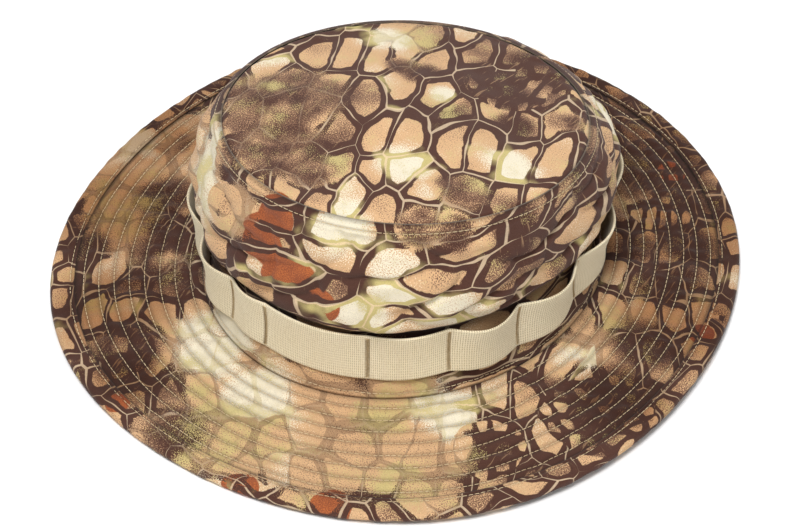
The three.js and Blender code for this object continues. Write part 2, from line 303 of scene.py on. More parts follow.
def webbing_at(degrees, height, depth):
    """A point of the webbing, `height` above its lower edge and `depth` out from its inner face."""
    last = OVERLAP_TACK + 360
    over = smooth(last - OVERLAP * 1.6, last - OVERLAP, degrees)
    ended = (degrees > last) | (degrees < OVERLAP_TACK)
    bulge = np.where(ended, 0, loop_bulge(degrees) * (1 - over))
    flare = LOOP_FLARE + (1 - LOOP_FLARE) * height / WEBBING_HEIGHT
    stand = WEBBING_GAP + over * (WEBBING + 0.35) + bulge * flare + depth
    a = np.radians(degrees)
    sag = 0.5 * np.sin(3 * a + 1) + 0.35 * np.sin(7 * a)
    return crown_wall(a, WEBBING_FOOT + height + sag, stand)


# ---- Meshes ----

# Where the print changes its character, and where shade is painted: (x, y, z) in mm, and how far the
# zone reaches. dark and light shift the tone, rust and olive add those colours, small has smaller cells,
# murk is dark and blurred, deep is painted shade, darker and warmer, on the brim's sides and far part,
# and calm is pale cloth with hardly an outline. Some of the centres on the visible side were looked up
# on the model, and the rest were placed one by one.
ZONES = {
    "dark": [
        (-44, -23, 96, 24), (-30, -52, 100, 20), (20, 45, 88, 20), (34, 74, 80, 20), (50, -36, 100, 11),
        (80, -36, 90, 15), (66, -58, 98, 9), (92, -10, 56, 12), (88, 15, 84, 14), (-10, 30, 92, 12),
        (-112, -28, 6, 16), (-100, -44, 7, 14), (-134, 6, 5, 12), (26, 41, 89, 18), (44, 20, 90, 12),
        (112, 50, 6, 18), (104, 80, 5, 18), (90, 62, 8, 12),
        (-87, -61, 7, 24), (-69, -118, 4, 22), (-22, -147, 4, 16), (-123, -74, 5, 12),
        (99, -83, 7, 12), (125, -28, 7, 24), (124, 12, 6, 20), (135, -50, 6, 14),
        (66, 114, 5, 26), (39, 131, 5, 26), (95, 109, 4, 16), (0, 135, 5, 26),
        (-100, 60, 5, 28), (-60, 115, 5, 26), (-85, 30, 70, 20), (-30, 90, 60, 20), (40, 85, 50, 18),
    ],
    "light": [
        (25, -38, 102, 20), (44, -48, 101, 10), (-40, 47, 83, 15), (62, -10, 95, 16), (25, -86, 94, 18),
        (50, -79, 82, 22), (12, -91, 93, 15), (-40, -97, 8, 26), (72, -78, 7, 18), (104, -20, 7, 16),
        (67, -65, 68, 16), (-5, -112, 7, 18), (-60, -70, 60, 20), (-140, 0, 6, 14), (-90, 10, 60, 16),
        (60, 75, 60, 16), (20, 110, 7, 16), (-54, -74, 78, 20), (40, -86, 60, 14), (-56, -62, 99, 7),
        (10, 20, 97, 10),
    ],
    "rust": [
        (-7, -88, 95, 12), (-12, -92, 82, 14), (4, -96, 68, 16), (-26, -90, 30, 10), (20, -94, 62, 10),
        (59, -147, 5, 12), (20, -159, 4, 10), (-54, -146, 5, 7), (75, 118, 5, 9), (141, 30, 6, 7),
        (-120, 80, 5, 9), (-70, 60, 50, 12),
    ],
    "olive": [
        (15, 8, 96, 16), (0, -135, 4, 28), (-127, -45, 6, 20), (-32, -118, 6, 16), (50, -92, 7, 16),
        (106, 17, 7, 14), (79, -120, 5, 18), (60, -30, 101, 8), (-58, -18, 92, 8), (40, -86, 68, 8),
        (-30, 60, 84, 16), (0, -50, 102, 9), (-100, -100, 5, 12), (60, -76, 14, 14), (-62, -68, 78, 12),
    ],
    "small": [
        (28, 45, 88, 22), (36, 72, 80, 22), (-69, -118, 4, 16), (99, -83, 7, 20),
        (128, -40, 7, 30), (66, 114, 5, 26), (-60, 115, 5, 26), (84, 92, 6, 20), (-100, 60, 5, 24),
        (-40, -78, 80, 12),
    ],
    "murk": [
        (-46, -22, 96, 30), (-28, -55, 100, 24), (-6, -62, 103, 14), (56, -38, 100, 13), (52, -66, 102, 12),
        (64, -58, 100, 10), (-20, 30, 90, 9), (-86, -64, 7, 12), (60, 40, 88, 10), (-40, 80, 70, 18),
    ],
    # Painted shade on the brim's sides and far part.
    "deep": [
        (128, 35, 6, 42), (104, 88, 6, 44), (60, 122, 5, 46), (0, 140, 5, 56), (-62, 120, 5, 56),
        (-112, 66, 5, 50), (-128, -45, 5, 44), (-92, -98, 5, 36), (132, -25, 6, 26), (-146, 10, 5, 40),
        (80, 60, 8, 24), (0, 112, 8, 34), (-60, -130, 5, 22),
    ],
    "calm": [
        (-40, -97, 7, 24), (0, -125, 5, 40), (-20, -104, 7, 30), (35, -115, 5, 40), (72, -100, 6, 28),
        (60, -80, 8, 20), (104, -6, 7, 16), (110, 22, 7, 12), (-140, -10, 6, 20), (-127, -45, 6, 22),
        (-60, -72, 78, 26), (-78, -50, 72, 20), (-34, 56, 84, 18), (20, -96, 14, 22), (50, -82, 14, 18),
        (-30, -90, 88, 16), (-30, -152, 4, 14), (60, 100, 8, 18), (-60, 80, 60, 20), (-80, -120, 4, 8),
        (90, -118, 5, 16), (-138, -30, 5, 22), (-116, -16, 6, 24), (-124, 12, 5, 26), (-108, -58, 5, 18),
        (-108, 44, 5, 24),
    ],
}


def zone_values(places, name):
    """How much each place is in the named zone, from 0 to 1."""
    total = np.zeros(len(places))
    for x, y, z, reach in ZONES[name]:
        gap = np.linalg.norm(places - (x, y, z), axis=1)
        total = np.maximum(total, 1 - smooth(0.35, 1.25, gap / reach))
    return total


def build(name, places, faces, look, stands_for, corner_uv=None, inside=None, crease=None):
    """A mesh from places in mm and corner indices, riding on the hat and standing for CAD nodes."""
    mesh = bpy.data.meshes.new(name)
    mesh.from_pydata((places * MM).tolist(), [], faces.tolist() if hasattr(faces, "tolist") else faces)
    mesh.polygons.foreach_set("use_smooth", [True] * len(mesh.polygons))
    if corner_uv is not None:
        layer = mesh.uv_layers.new(name="cloth")
        layer.data.foreach_set("uv", (corner_uv * MM).astype(np.float32).ravel())
        for zone in ZONES:
            values = mesh.attributes.new(zone, "FLOAT", "POINT")
            values.data.foreach_set("value", zone_values(places, zone).astype(np.float32))
    # The crease values, where given, are painted shade for grooves, seams and gaps.
    for share, given in (("reverse", inside), ("crease", crease)):
        if given is not None:
            values = mesh.attributes.new(share, "FLOAT", "POINT")
            values.data.foreach_set("value", given.astype(np.float32))
    mesh.materials.append(look)
    mesh.validate()
    piece = bpy.data.objects.new(mesh.name, mesh)
    bpy.context.scene.collection.objects.link(piece)
    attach(piece, "root")
    if stands_for:
        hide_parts(*stands_for)
    return piece


def grid_faces(rows, columns, first=0, flipped=False):
    """Corner indices of a grid whose last column joins its first."""
    i, j = np.meshgrid(np.arange(rows - 1), np.arange(columns), indexing="ij")
    k = (j + 1) % columns
    corners = [i * columns + j, i * columns + k, (i + 1) * columns + k, (i + 1) * columns + j]
    if flipped:
        corners.reverse()
    return first + np.stack(corners, axis=-1).reshape(-1, 4)


def grid_uv(uv, rows, columns, flipped=False):
    """The same grid's cloth coordinates, from an array with one column more than the grid."""
    i, j = np.meshgrid(np.arange(rows - 1), np.arange(columns), indexing="ij")
    corners = [uv[i, j], uv[i, j + 1], uv[i + 1, j + 1], uv[i + 1, j]]
    if flipped:
        corners.reverse()
    return np.stack(corners, axis=2).reshape(-1, 2)


def cloth_ring(
    name, surface, levels, columns, cloth_uv, thick, look, stands_for, up=True, creases=None
):
    """A closed skin of cloth round the hat: its face, its reverse, and the two edges between."""
    angles = BACK + np.arange(columns) / columns * TURN
    a, level = np.meshgrid(angles, levels)
    face = surface(a, level)
    reverse = surface(a, level, thick)
    rows = len(levels)
    places = np.concatenate([face.reshape(-1, 3), reverse.reshape(-1, 3)])
    whole = np.append(angles, BACK + TURN)
    uv = cloth_uv(*np.meshgrid(whole, levels))
    count = rows * columns
    faces = [grid_faces(rows, columns, 0, not up), grid_faces(rows, columns, count, up)]
    corner_uv = [grid_uv(uv, rows, columns, not up), grid_uv(uv, rows, columns, up)]
    for row, flip in ((0, up), (rows - 1, not up)):
        j = np.arange(columns)
        k = (j + 1) % columns
        edge = [row * columns + j, row * columns + k, count + row * columns + k, count + row * columns + j]
        edge_uv = [uv[row, j], uv[row, j + 1], uv[row, j + 1], uv[row, j]]
        if flip:
            edge.reverse()
            edge_uv.reverse()
        faces.append(np.stack(edge, axis=-1))
        corner_uv.append(np.stack(edge_uv, axis=1).reshape(-1, 2))
    inside = np.concatenate([np.zeros(count), np.ones(count)])
    # Painted shade for grooves and gaps, from creases, the same on the face and the reverse.
    crease = np.tile(creases(a, level).ravel(), 2) if creases else None
    all_faces, all_uv = np.concatenate(faces), np.concatenate(corner_uv)
    return build(name, places, all_faces, look, stands_for, all_uv, inside, crease)


def loop_section(name, sections, look, stands_for, closed=True, corner_uv=None, crease=None):
    """A solid swept round the hat: sections is an array of outlines, each closed on itself."""
    columns, corners = sections.shape[:2]
    i, j = np.meshgrid(np.arange(columns if closed else columns - 1), np.arange(corners), indexing="ij")
    after, beside = (i + 1) % columns, (j + 1) % corners
    faces = np.stack(
        [i * corners + j, after * corners + j, after * corners + beside, i * corners + beside], axis=-1
    ).reshape(-1, 4)
    if corner_uv is not None:
        corner_uv = np.stack(
            [corner_uv[i, j], corner_uv[i + 1, j], corner_uv[i + 1, j + 1], corner_uv[i, j + 1]], axis=2
        ).reshape(-1, 2)
    faces = faces.tolist()
    if not closed:
        faces.append(list(range(corners)))
        faces.append(list(range((columns - 1) * corners, columns * corners))[::-1])
    return build(name, sections.reshape(-1, 3), faces, look, stands_for, corner_uv, None, crease)


def tubes(paths, across, up, radius, ends=0.35, sides=6):
    """Round threads along many paths at once: paths is (threads, steps, 3), and each thread tapers
    to `ends` of its radius. Gives places and faces."""
    threads, steps = paths.shape[:2]
    thick = np.full(steps, radius)
    thick[[0, -1]] = radius * ends
    turn = np.arange(sides) / sides * TURN
    ring = across[:, :, None] * np.cos(turn)[:, None] + up[:, :, None] * np.sin(turn)[:, None]
    places = paths[:, :, None] + ring * thick[None, :, None, None]
    t, i, j = np.meshgrid(np.arange(threads), np.arange(steps - 1), np.arange(sides), indexing="ij")

    def at(i, j):
        return (t * steps + i) * sides + j % sides

    walls = np.stack([at(i, j), at(i, j + 1), at(i + 1, j + 1), at(i + 1, j)], axis=-1).reshape(-1, 4)
    starts = (np.arange(threads) * steps * sides)[:, None]
    caps = [starts + np.arange(sides)[::-1], starts + (steps - 1) * sides + np.arange(sides)]
    return places.reshape(-1, 3), walls.tolist() + np.concatenate(caps).tolist()


STITCH = 2.7
STITCH_GAP = 0.35
THREAD = 0.16
STITCH_LIFT = 0.16  # how far a stitch's middle stands above the cloth


def stitch_row(name, surface, stands_for):
    """A row of separate stitches along a surface that is a function of angle and height above it."""
    fine = np.linspace(0, TURN, 7201)
    line = surface(fine, 0.0)
    run = np.append(0, np.cumsum(np.linalg.norm(np.diff(line, axis=0), axis=1)))
    count = int(run[-1] // STITCH)
    pitch = run[-1] / count
    steps = np.array([0.0, 0.16, 0.5, 0.84, 1.0])
    rises = np.array([-0.35, 0.55, 1.0, 0.55, -0.35]) * STITCH_LIFT
    starts = np.arange(count)[:, None] * pitch
    along = starts + steps * (pitch - STITCH_GAP)
    a = np.interp(along, run, fine)
    paths = surface(a, np.broadcast_to(rises, a.shape))
    tangent = np.gradient(paths, axis=1)
    tangent /= np.linalg.norm(tangent, axis=-1)[..., None]
    up = surface(a, 1.0) - surface(a, 0.0)
    across = np.cross(tangent, up)
    across /= np.linalg.norm(across, axis=-1)[..., None]
    places, faces = tubes(paths, across, np.cross(across, tangent), THREAD)
    return build(name, places, faces, cream_thread, stands_for)


# ---- Materials ----


def srgb(red, green, blue):
    """A colour for a shader, from 0 to 255 values as a screen shows them."""
    linear = [((c / 255 + 0.055) / 1.055) ** 2.4 for c in (red, green, blue)]
    return (*linear, 1.0)


DARK_BROWN = srgb(78, 49, 39)
TAUPE = srgb(132, 98, 76)
TAN = srgb(208, 168, 126)
OFF_WHITE = srgb(228, 218, 194)
OLIVE = srgb(194, 178, 118)
RUST = srgb(176, 98, 54)
NET = srgb(228, 202, 168)
DARK_RUST = srgb(142, 76, 46)
PALE_REVERSE = srgb(206, 190, 164)
CREASE_SHADE = srgb(34, 23, 17)
SMALL_CELL = 7.5


class Shader:
    """A material whose nodes are added and joined in one call each."""

    def __init__(self, name, roughness, sheen=0.0):
        self.material = bpy.data.materials.new(name)
        self.material.use_nodes = True
        self.tree = self.material.node_tree
        self.surface = self.tree.nodes["Principled BSDF"]
        self.surface.inputs["Roughness"].default_value = roughness
        self.surface.inputs["Specular IOR Level"].default_value = 0.25
        self.surface.inputs["Sheen Weight"].default_value = sheen
        self.surface.inputs["Sheen Roughness"].default_value = 0.5

    def feed(self, socket, value):
        if isinstance(value, bpy.types.NodeSocket):
            self.tree.links.new(value, socket)
        else:
            socket.default_value = value

    def node(self, kind, out, values, **settings):
        made = self.tree.nodes.new(kind)
        for setting, value in settings.items():
            setattr(made, setting, value)
        for socket, value in values.items():
            self.feed(made.inputs[socket], value)
        return made.outputs[out]

    def math(self, operation, a, b=None, c=None):
        values = {0: a, 1: b, 2: c}
        used = {k: v for k, v in values.items() if v is not None}
        return self.node("ShaderNodeMath", 0, used, operation=operation)

    def vector(self, operation, a, b):
        return self.node("ShaderNodeVectorMath", 0, {0: a, 1: b}, operation=operation)

    def scaled(self, a, factor):
        return self.node("ShaderNodeVectorMath", 0, {0: a, "Scale": factor}, operation="SCALE")

    def mix(self, share, a, b):
        values = {0: share, 6: a, 7: b}
        return self.node("ShaderNodeMix", 2, values, data_type="RGBA")

    def multiplied(self, a, b):
        values = {0: 1.0, 6: a, 7: b}
        return self.node("ShaderNodeMix", 2, values, data_type="RGBA", blend_type="MULTIPLY")

    def mix_value(self, share, a, b):
        return self.node("ShaderNodeMix", 0, {0: share, 2: a, 3: b}, data_type="FLOAT")

    def step(self, value, low, high):
        """0 where value is below low, 1 above high, and smooth between."""
        values = {0: value, 1: low, 2: high, 3: 0.0, 4: 1.0}
        return self.node("ShaderNodeMapRange", 0, values, interpolation_type="SMOOTHSTEP")

    def noise(self, place, size, detail=1.0, out=0, roughness=0.5):
        """Noise about `size` mm across: a number, or a colour where out is 1."""
        values = {"Vector": place, "Scale": 1 / size, "Detail": detail, "Roughness": roughness}
        return self.node("ShaderNodeTexNoise", out, values, noise_dimensions="3D")

    def cells(self, place, size, out, feature, randomness):
        values = {"Vector": place, "Scale": 1 / size, "Randomness": randomness}
        return self.node("ShaderNodeTexVoronoi", out, values, feature=feature, voronoi_dimensions="2D")

    def net(self, place, size, randomness):
        """Cells of a net: the distance to the nearest line in mm, how far past a rounded cell's
        corner a place is in mm, and a number for each cell."""
        edge = self.cells(place, size, "Distance", "DISTANCE_TO_EDGE", randomness)
        reach = self.cells(place, size, "Distance", "F1", randomness)
        colour = self.cells(place, size, "Color", "F1", randomness)
        past = self.math("MAXIMUM", self.math("SUBTRACT", reach, 0.36), 0.0)
        pick = self.node("ShaderNodeSeparateColor", 0, {0: colour})
        return self.math("MULTIPLY", edge, size), self.math("MULTIPLY", past, size), pick

    def shifted(self, value, by, share, start):
        """start, plus share of how far value is above by."""
        return self.math("MULTIPLY_ADD", self.math("SUBTRACT", value, by), share, start)

    def attribute(self, name):
        return self.node("ShaderNodeAttribute", "Fac", {}, attribute_name=name)

    def cloth(self):
        """Cloth coordinates in mm."""
        metres = self.node("ShaderNodeUVMap", 0, {}, uv_map="cloth")
        return self.scaled(metres, 1 / MM)

    def object_place(self):
        """A place on the object in mm."""
        metres = self.node("ShaderNodeTexCoord", "Object", {})
        return self.scaled(metres, 1 / MM)

    def finish(self, colour, height=None, depth_mm=0.1):
        self.feed(self.surface.inputs["Base Color"], colour)
        if height is not None:
            values = {"Height": height, "Distance": depth_mm * MM, "Strength": 1.0}
            bump = self.node("ShaderNodeBump", 0, values)
            self.feed(self.surface.inputs["Normal"], bump)
        return self.material


def weave(shader, place, pitch):
    """Plain weave threads `pitch` mm apart, from 0 to 1."""
    turned = shader.scaled(place, TURN / pitch)
    split = shader.node("ShaderNodeSeparateXYZ", 0, {0: turned}).node
    across = shader.math("SINE", split.outputs[0])
    along = shader.math("SINE", split.outputs[1])
    return shader.math("MULTIPLY_ADD", shader.math("MULTIPLY", across, along), 0.5, 0.5)


def bent_cloth(s, place, stretch, turn):
    """Cloth coordinates for the cells: turned, stretched, and bent so that no line runs straight."""
    values = {"Vector": place, "Scale": (stretch, 1.0, 1.0), "Rotation": (0, 0, math.radians(turn))}
    turned = s.node("ShaderNodeMapping", 0, values, vector_type="TEXTURE")
    slow = s.vector("SUBTRACT", s.noise(place, 42, 0, out=1), (0.5, 0.5, 0.5))
    quick = s.vector("SUBTRACT", s.noise(place, 9, 0, out=1), (0.5, 0.5, 0.5))
    bent = s.vector("ADD", turned, s.scaled(slow, 15))
    return s.vector("ADD", bent, s.scaled(quick, 2.0))


def print_cells(s, bent, zone, patches, large_cell):
    """Cells of two sizes: the three values of a net, and where the small cells are."""
    wandering = s.math("MULTIPLY", s.math("SUBTRACT", patches, 0.5), 0.7)
    small_here = s.step(s.math("ADD", zone["small"], wandering), 0.42, 0.5)
    large = s.net(bent, large_cell, 0.66)
    small = s.net(bent, SMALL_CELL, 0.6)
    edge, reach, pick = (s.mix_value(small_here, *pair) for pair in zip(large, small))
    return edge, reach, pick, small_here


def print_tone(s, place, zone, patches, pick, small_here):
    """The tone inside the cells, from 0 for dark brown to 1 for off-white."""
    pull = s.math("SUBTRACT", zone["light"], s.math("MULTIPLY", zone["dark"], 1.1))
    tone = s.shifted(pick, 0.5, 0.42, 0.58)
    tone = s.shifted(patches, 0.5, 0.9, tone)
    tone = s.math("MULTIPLY_ADD", pull, 0.4, tone)
    tone = s.mix_value(small_here, tone, s.math("MINIMUM", tone, 0.7))
    darkest = s.math("MULTIPLY_ADD", zone["dark"], -0.4, 0.62)
    calmed = s.math("MAXIMUM", tone, darkest)
    tone = s.mix_value(s.math("MULTIPLY", zone["calm"], 0.85), tone, calmed)
    murky = s.shifted(s.noise(place, 17, 2), 0.5, 1.1, 0.33)
    return s.mix_value(zone["murk"], tone, murky)


def cell_colour(s, zone, pick, dithered, stipple, pools):
    """The colour inside the cells, with stippled steps, olive pools and rust cells."""
    colour = s.mix(s.step(dithered, 0.26, 0.34), DARK_BROWN, TAUPE)
    colour = s.mix(s.step(dithered, 0.44, 0.52), colour, TAN)
    colour = s.mix(s.step(dithered, 0.78, 0.86), colour, OFF_WHITE)
    olive = s.math("MULTIPLY_ADD", zone["olive"], 0.22, s.math("ADD", stipple, pools))
    colour = s.mix(s.math("MULTIPLY", s.step(olive, 0.62, 0.78), 0.85), colour, OLIVE)
    rust_here = s.step(s.shifted(pick, 0.5, 0.3, zone["rust"]), 0.42, 0.5)
    rust_tone = s.mix(s.step(s.math("ADD", stipple, pools), 0.4, 0.75), DARK_RUST, RUST)
    return s.mix(rust_here, colour, rust_tone)


def outlined_cells(s, place, zone, cells, tone, stipple, pools, colour):
    """Dark bands along the outlines, broad in dark parts and olive in light ones, and a pale net."""
    edge, reach, _, small_here = cells
    band = s.mix_value(s.step(tone, 0.35, 0.85), 2.3, 1.35)
    band = s.math("MULTIPLY", band, s.math("MULTIPLY_ADD", small_here, -0.3, 1.0))
    ragged = s.math("MULTIPLY_ADD", stipple, 0.9, -0.55)
    ragged = s.math("MULTIPLY_ADD", s.noise(place, 4, 0), 1.1, ragged)
    rounded = s.math("MULTIPLY_ADD", reach, 0.55, s.math("ADD", band, ragged))
    near_edge = s.math("SUBTRACT", rounded, edge)
    unlined = s.math("MAXIMUM", zone["calm"], zone["murk"])
    calm = s.step(s.math("ADD", unlined, s.shifted(pools, 0.5, 1.2, stipple)), 0.3, 0.55)
    in_band = s.step(s.math("MULTIPLY_ADD", calm, -1.35, near_edge), -0.12, 0.12)
    in_band = s.math("MULTIPLY", in_band, s.math("MULTIPLY_ADD", calm, -0.6, 1.0))
    fading = s.step(s.math("MULTIPLY_ADD", pools, 0.5, tone), 1.02, 1.22)
    colour = s.mix(in_band, colour, s.mix(fading, DARK_BROWN, OLIVE))
    net_width = s.math("MULTIPLY_ADD", s.noise(place, 15, 0), 1.1, -0.3)
    in_net = s.step(s.math("SUBTRACT", net_width, edge), -0.08, 0.08)
    net_shown = s.math("MULTIPLY", in_net, s.math("SUBTRACT", 1.0, small_here))
    net_strength = s.math("MULTIPLY_ADD", s.math("SUBTRACT", 1.0, calm), 0.5, 0.14)
    return s.mix(s.math("MULTIPLY", net_shown, net_strength), colour, NET)


def with_hairlines(s, place, dithered, colour):
    """Fine slanting hairlines in the darkest parts."""
    values = {"Vector": place, "Rotation": (0, 0, 0.9), "Scale": (1, 0.12, 1)}
    slanted = s.node("ShaderNodeMapping", 0, values)
    hairs = s.step(s.noise(slanted, 1.5, 1), 0.62, 0.7)
    dark_here = s.math("SUBTRACT", 1.0, s.step(dithered, 0.2, 0.42))
    return s.mix(s.math("MULTIPLY", s.math("MULTIPLY", hairs, dark_here), 0.35), colour, TAN)


def with_thread_tint(s, place, stipple, threads, colour):
    """Uneven dye and the grain of the threads."""
    uneven = s.math("MULTIPLY_ADD", s.noise(place, 60, 2), 0.16, 0.9)
    speckled = s.math("MULTIPLY_ADD", stipple, 0.6, s.math("MULTIPLY_ADD", threads, 0.1, 0.95))
    lightness = s.math("MULTIPLY", speckled, uneven)
    tint = s.node("ShaderNodeCombineColor", 0, {0: lightness, 1: lightness, 2: lightness})
    return s.multiplied(colour, tint)


def printed_cotton(name, stretch, turn, large_cell, shade=1.0):
    """A generic net camouflage: cells with dark outlines and a pale net, in changing tones."""
    s = Shader(name, 0.92, sheen=0.08)
    place = s.cloth()
    bent = bent_cloth(s, place, stretch, turn)
    zone = {key: s.attribute(key) for key in ZONES}
    patches = s.noise(place, 30, 2)
    pools = s.noise(place, 15, 2, roughness=0.6)
    stipple = s.math("SUBTRACT", s.noise(place, 0.55, 1), 0.5)
    cells = print_cells(s, bent, zone, patches, large_cell)
    _, _, pick, small_here = cells
    tone = print_tone(s, place, zone, patches, pick, small_here)
    dithered = s.math("MULTIPLY_ADD", stipple, 0.9, tone)
    colour = cell_colour(s, zone, pick, dithered, stipple, pools)
    colour = outlined_cells(s, place, zone, cells, tone, stipple, pools, colour)
    colour = with_hairlines(s, place, dithered, colour)
    # Painted shade, darker and warmer, on the brim's sides and far part.
    colour = s.multiplied(colour, s.mix(zone["deep"], (1, 1, 1, 1), (0.5, 0.38, 0.29, 1)))
    threads = weave(s, place, 0.62)
    colour = with_thread_tint(s, place, stipple, threads, colour)
    colour = s.mix(s.math("MULTIPLY", s.attribute("reverse"), 0.55), colour, PALE_REVERSE)
    # Painted shade: the crease values darken seams, stitch rows and the gap behind the webbing towards
    # CREASE_SHADE.
    colour = s.mix(s.math("MULTIPLY", s.attribute("crease"), 0.68), colour, CREASE_SHADE)
    # Painted shade: below 1, as for the brim's underside, the colour is mixed towards dark brown.
    if shade < 1:
        colour = s.mix(1 - shade, colour, DARK_BROWN)
    return s.finish(colour, threads, 0.09)


def webbing_look():
    """Khaki yarn, with painted shade in dashes along the valleys between the ribs."""
    s = Shader("khaki_webbing", 0.8, sheen=0.1)
    place = s.object_place()
    fibres = s.noise(place, 0.5, 2)
    patches = s.noise(place, 22, 2)
    colour = s.mix(patches, srgb(230, 216, 184), srgb(241, 231, 204))
    colour = s.mix(s.step(fibres, 0.25, 0.55), srgb(214, 198, 162), colour)
    # Painted shade in the valleys between the ribs, broken into dashes.
    dash_pitch = 1.4
    crossing = s.node("ShaderNodeSeparateXYZ", 0, {0: s.scaled(place, TURN / dash_pitch)}).node
    dashes = s.math("MULTIPLY_ADD", s.math("SINE", crossing.outputs[2]), 0.4, 0.6)
    painted_valley_shade = s.math("MULTIPLY", s.attribute("crease"), dashes)
    colour = s.mix(s.math("MULTIPLY", painted_valley_shade, 0.9), colour, srgb(150, 126, 84))
    return s.finish(colour, fibres, 0.08)


def thread_look(name, dark, light):
    """Twisted sewing thread, between two colours."""
    s = Shader(name, 0.6, sheen=0.1)
    place = s.object_place()
    twist = s.noise(place, 0.35, 1)
    uneven = s.noise(place, 14, 1)
    colour = s.mix(s.step(s.math("MULTIPLY_ADD", uneven, 0.5, twist), 0.5, 0.95), dark, light)
    return s.finish(colour, twist, 0.05)


def tape_look(name, dark, light, pitch):
    """Plain woven tape with threads `pitch` mm apart."""
    s = Shader(name, 0.9)
    place = s.object_place()
    slanted = s.node("ShaderNodeMapping", 0, {"Vector": place, "Rotation": (0.6, 0.6, 0.7)})
    threads = weave(s, slanted, pitch)
    uneven = s.noise(place, 18, 3)
    colour = s.mix(s.math("MULTIPLY_ADD", threads, 0.35, s.math("MULTIPLY", uneven, 0.6)), dark, light)
    return s.finish(colour, threads, 0.12)


top_print = printed_cotton("print_top", 1.95, 110, 15.5)
side_print = printed_cotton("print_side", 2.7, 6, 12.5)
brim_print = printed_cotton("print_brim", 1.5, 122, 16.5)
# The brim's underside gets painted shade.
under_print = printed_cotton("print_under", 1.5, 20, 16, shade=0.8)
binding_print = printed_cotton("print_binding", 1.4, 8, 12)
webbing_cloth = webbing_look()
cream_thread = thread_look("cream_thread", srgb(176, 150, 112), srgb(222, 202, 164))
brown_thread = thread_look("brown_thread", srgb(172, 138, 92), srgb(216, 190, 144))
twill = tape_look("twill_tape", srgb(160, 144, 112), srgb(200, 186, 152), 0.9)
backing = tape_look("interlining", srgb(214, 208, 194), srgb(236, 231, 220), 0.7)
label_cloth = tape_look("blank_label", srgb(222, 216, 202), srgb(242, 238, 228), 0.5)

# ---- Pieces ----


def crown_side():
    """The side panel, with closer levels near the top seam."""
    levels = np.concatenate([np.linspace(0, 0.94, 70), np.linspace(0.947, 1, 11)])

    def cloth_uv(a, level):
        return np.stack([(a - BACK) * WALL_REACH, CROWN_UV_HEIGHT * level + 0 * a], axis=-1)

    # Painted shade in the grooves of both stitch rows and of the seams at the top and the foot, and a
    # painted shadow behind the webbing's upper edge.
    def creases(a, level):
        height = top_seam_height(a) - WALL_FOOT
        below, above = (1 - level) * height, level * height
        rows = 0.5 * near(below, TOP_ROW, 0.6) + 0.5 * near(above, BASE_ROW, 0.6)
        shaded = 0.8 * near(above, WEBBING_TOP - WALL_FOOT - 1.5, 4.5)
        return rows + 0.8 * near(below, 0, 0.8) + 0.6 * near(above, 0, 1.0) + shaded

    cloth_ring(
        "crown_side", side_cloth, levels, 480, cloth_uv, CROWN_CLOTH, side_print,
        ["crown_side_panel"], True, creases,
    )


def crown_top():
    """The top panel, with closer levels near its seam."""
    fractions = np.concatenate([np.linspace(0.004, 0.93, 58), np.linspace(0.938, 1, 12)])

    def cloth_uv(a, fraction):
        return top_panel(a, fraction, 0)[..., :2]

    # Painted shade in the top seam's groove.
    def creases(a, fraction):
        return 0.8 * near((1 - fraction) * TOP_REACH, 0, 0.8)

    cloth_ring(
        "crown_top", top_cloth, fractions, 440, cloth_uv, CROWN_CLOTH, top_print,
        ["crown_top_panel"], False, creases,
    )


def brim_cloth(name, surface, look, node, up):
    """The brim's upper or lower cloth. Every stitched row is on one of its levels."""
    levels_per_row = 8
    fractions = np.arange(0, 0.985, FLAT_FRACTION / ROW_SPACES / levels_per_row)

    def cloth_uv(a, fraction):
        return brim_point(a, fraction, 0)[..., :2]

    # Painted shade in the grooves of the stitched rows, at the crown's foot and along the binding's inner
    # edge.
    def creases(a, fraction):
        rows = fraction / FLAT_FRACTION * ROW_SPACES
        row_width = BRIM_DEPTH * FLAT_FRACTION / ROW_SPACES
        apart = np.abs(rows - np.clip(np.round(rows), 1, BRIM_ROWS)) * row_width
        bound = near((fraction - FLAT_FRACTION) * BRIM_DEPTH, 0, 1.2)
        return 0.6 * near(apart, 0, 1.1) + 0.6 * near(fraction * BRIM_DEPTH, 1, 1.5) + bound

    cloth_ring(name, surface, fractions, 640, cloth_uv, CLOTH * 0.6, look, [node], up, creases)


def brim_backing():
    """The stiff interlining, between the brim's two cloths."""

    def face(a, fraction, inwards=0.0):
        return brim_point(a, fraction, INTERLINING / 2 - inwards)

    def cloth_uv(a, fraction):
        return brim_point(a, fraction, 0)[..., :2]

    cloth_ring(
        "brim_backing", face, np.linspace(0.01, 0.97, 40), 480, cloth_uv, INTERLINING, backing,
        ["brim_interlining"],
    )


